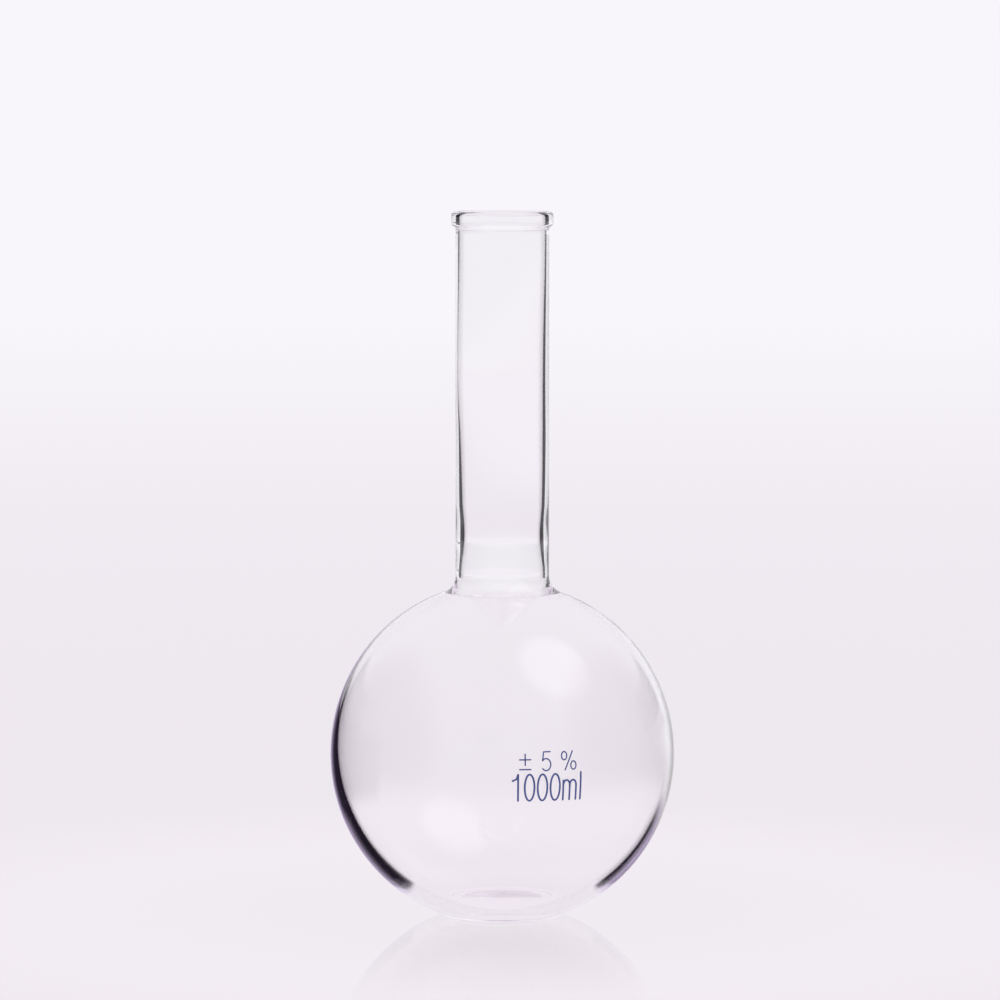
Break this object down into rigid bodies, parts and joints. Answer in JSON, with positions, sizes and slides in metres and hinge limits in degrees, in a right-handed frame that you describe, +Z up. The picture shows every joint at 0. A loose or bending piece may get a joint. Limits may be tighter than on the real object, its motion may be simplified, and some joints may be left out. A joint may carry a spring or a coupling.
{
  "type": "flat-bottom boiling flask",
  "caption": "Clear glass boiling flask: round bulb with a small flat foot, long straight neck with a thick root, beaded rim, printed capacity mark.",
  "frame": {"origin": "centre of the foot, on the surface that the flask stands on", "axes": "+Z up along the axis of the bulb and neck, out of the mouth; -Y is the printed front; +X to the right when looking at the front"},
  "size_m": [0.131, 0.131, 0.268],
  "materials": {
    "glass": "clear, fire-polished borosilicate glass",
    "marking_enamel": "fired blue enamel print"
  },
  "bodies": {
    "root": {"base": "glass", "bulb": "glass", "neck_root": "glass", "neck_tube": "glass", "rim_bead": "glass"}
  },
  "joints": []
}
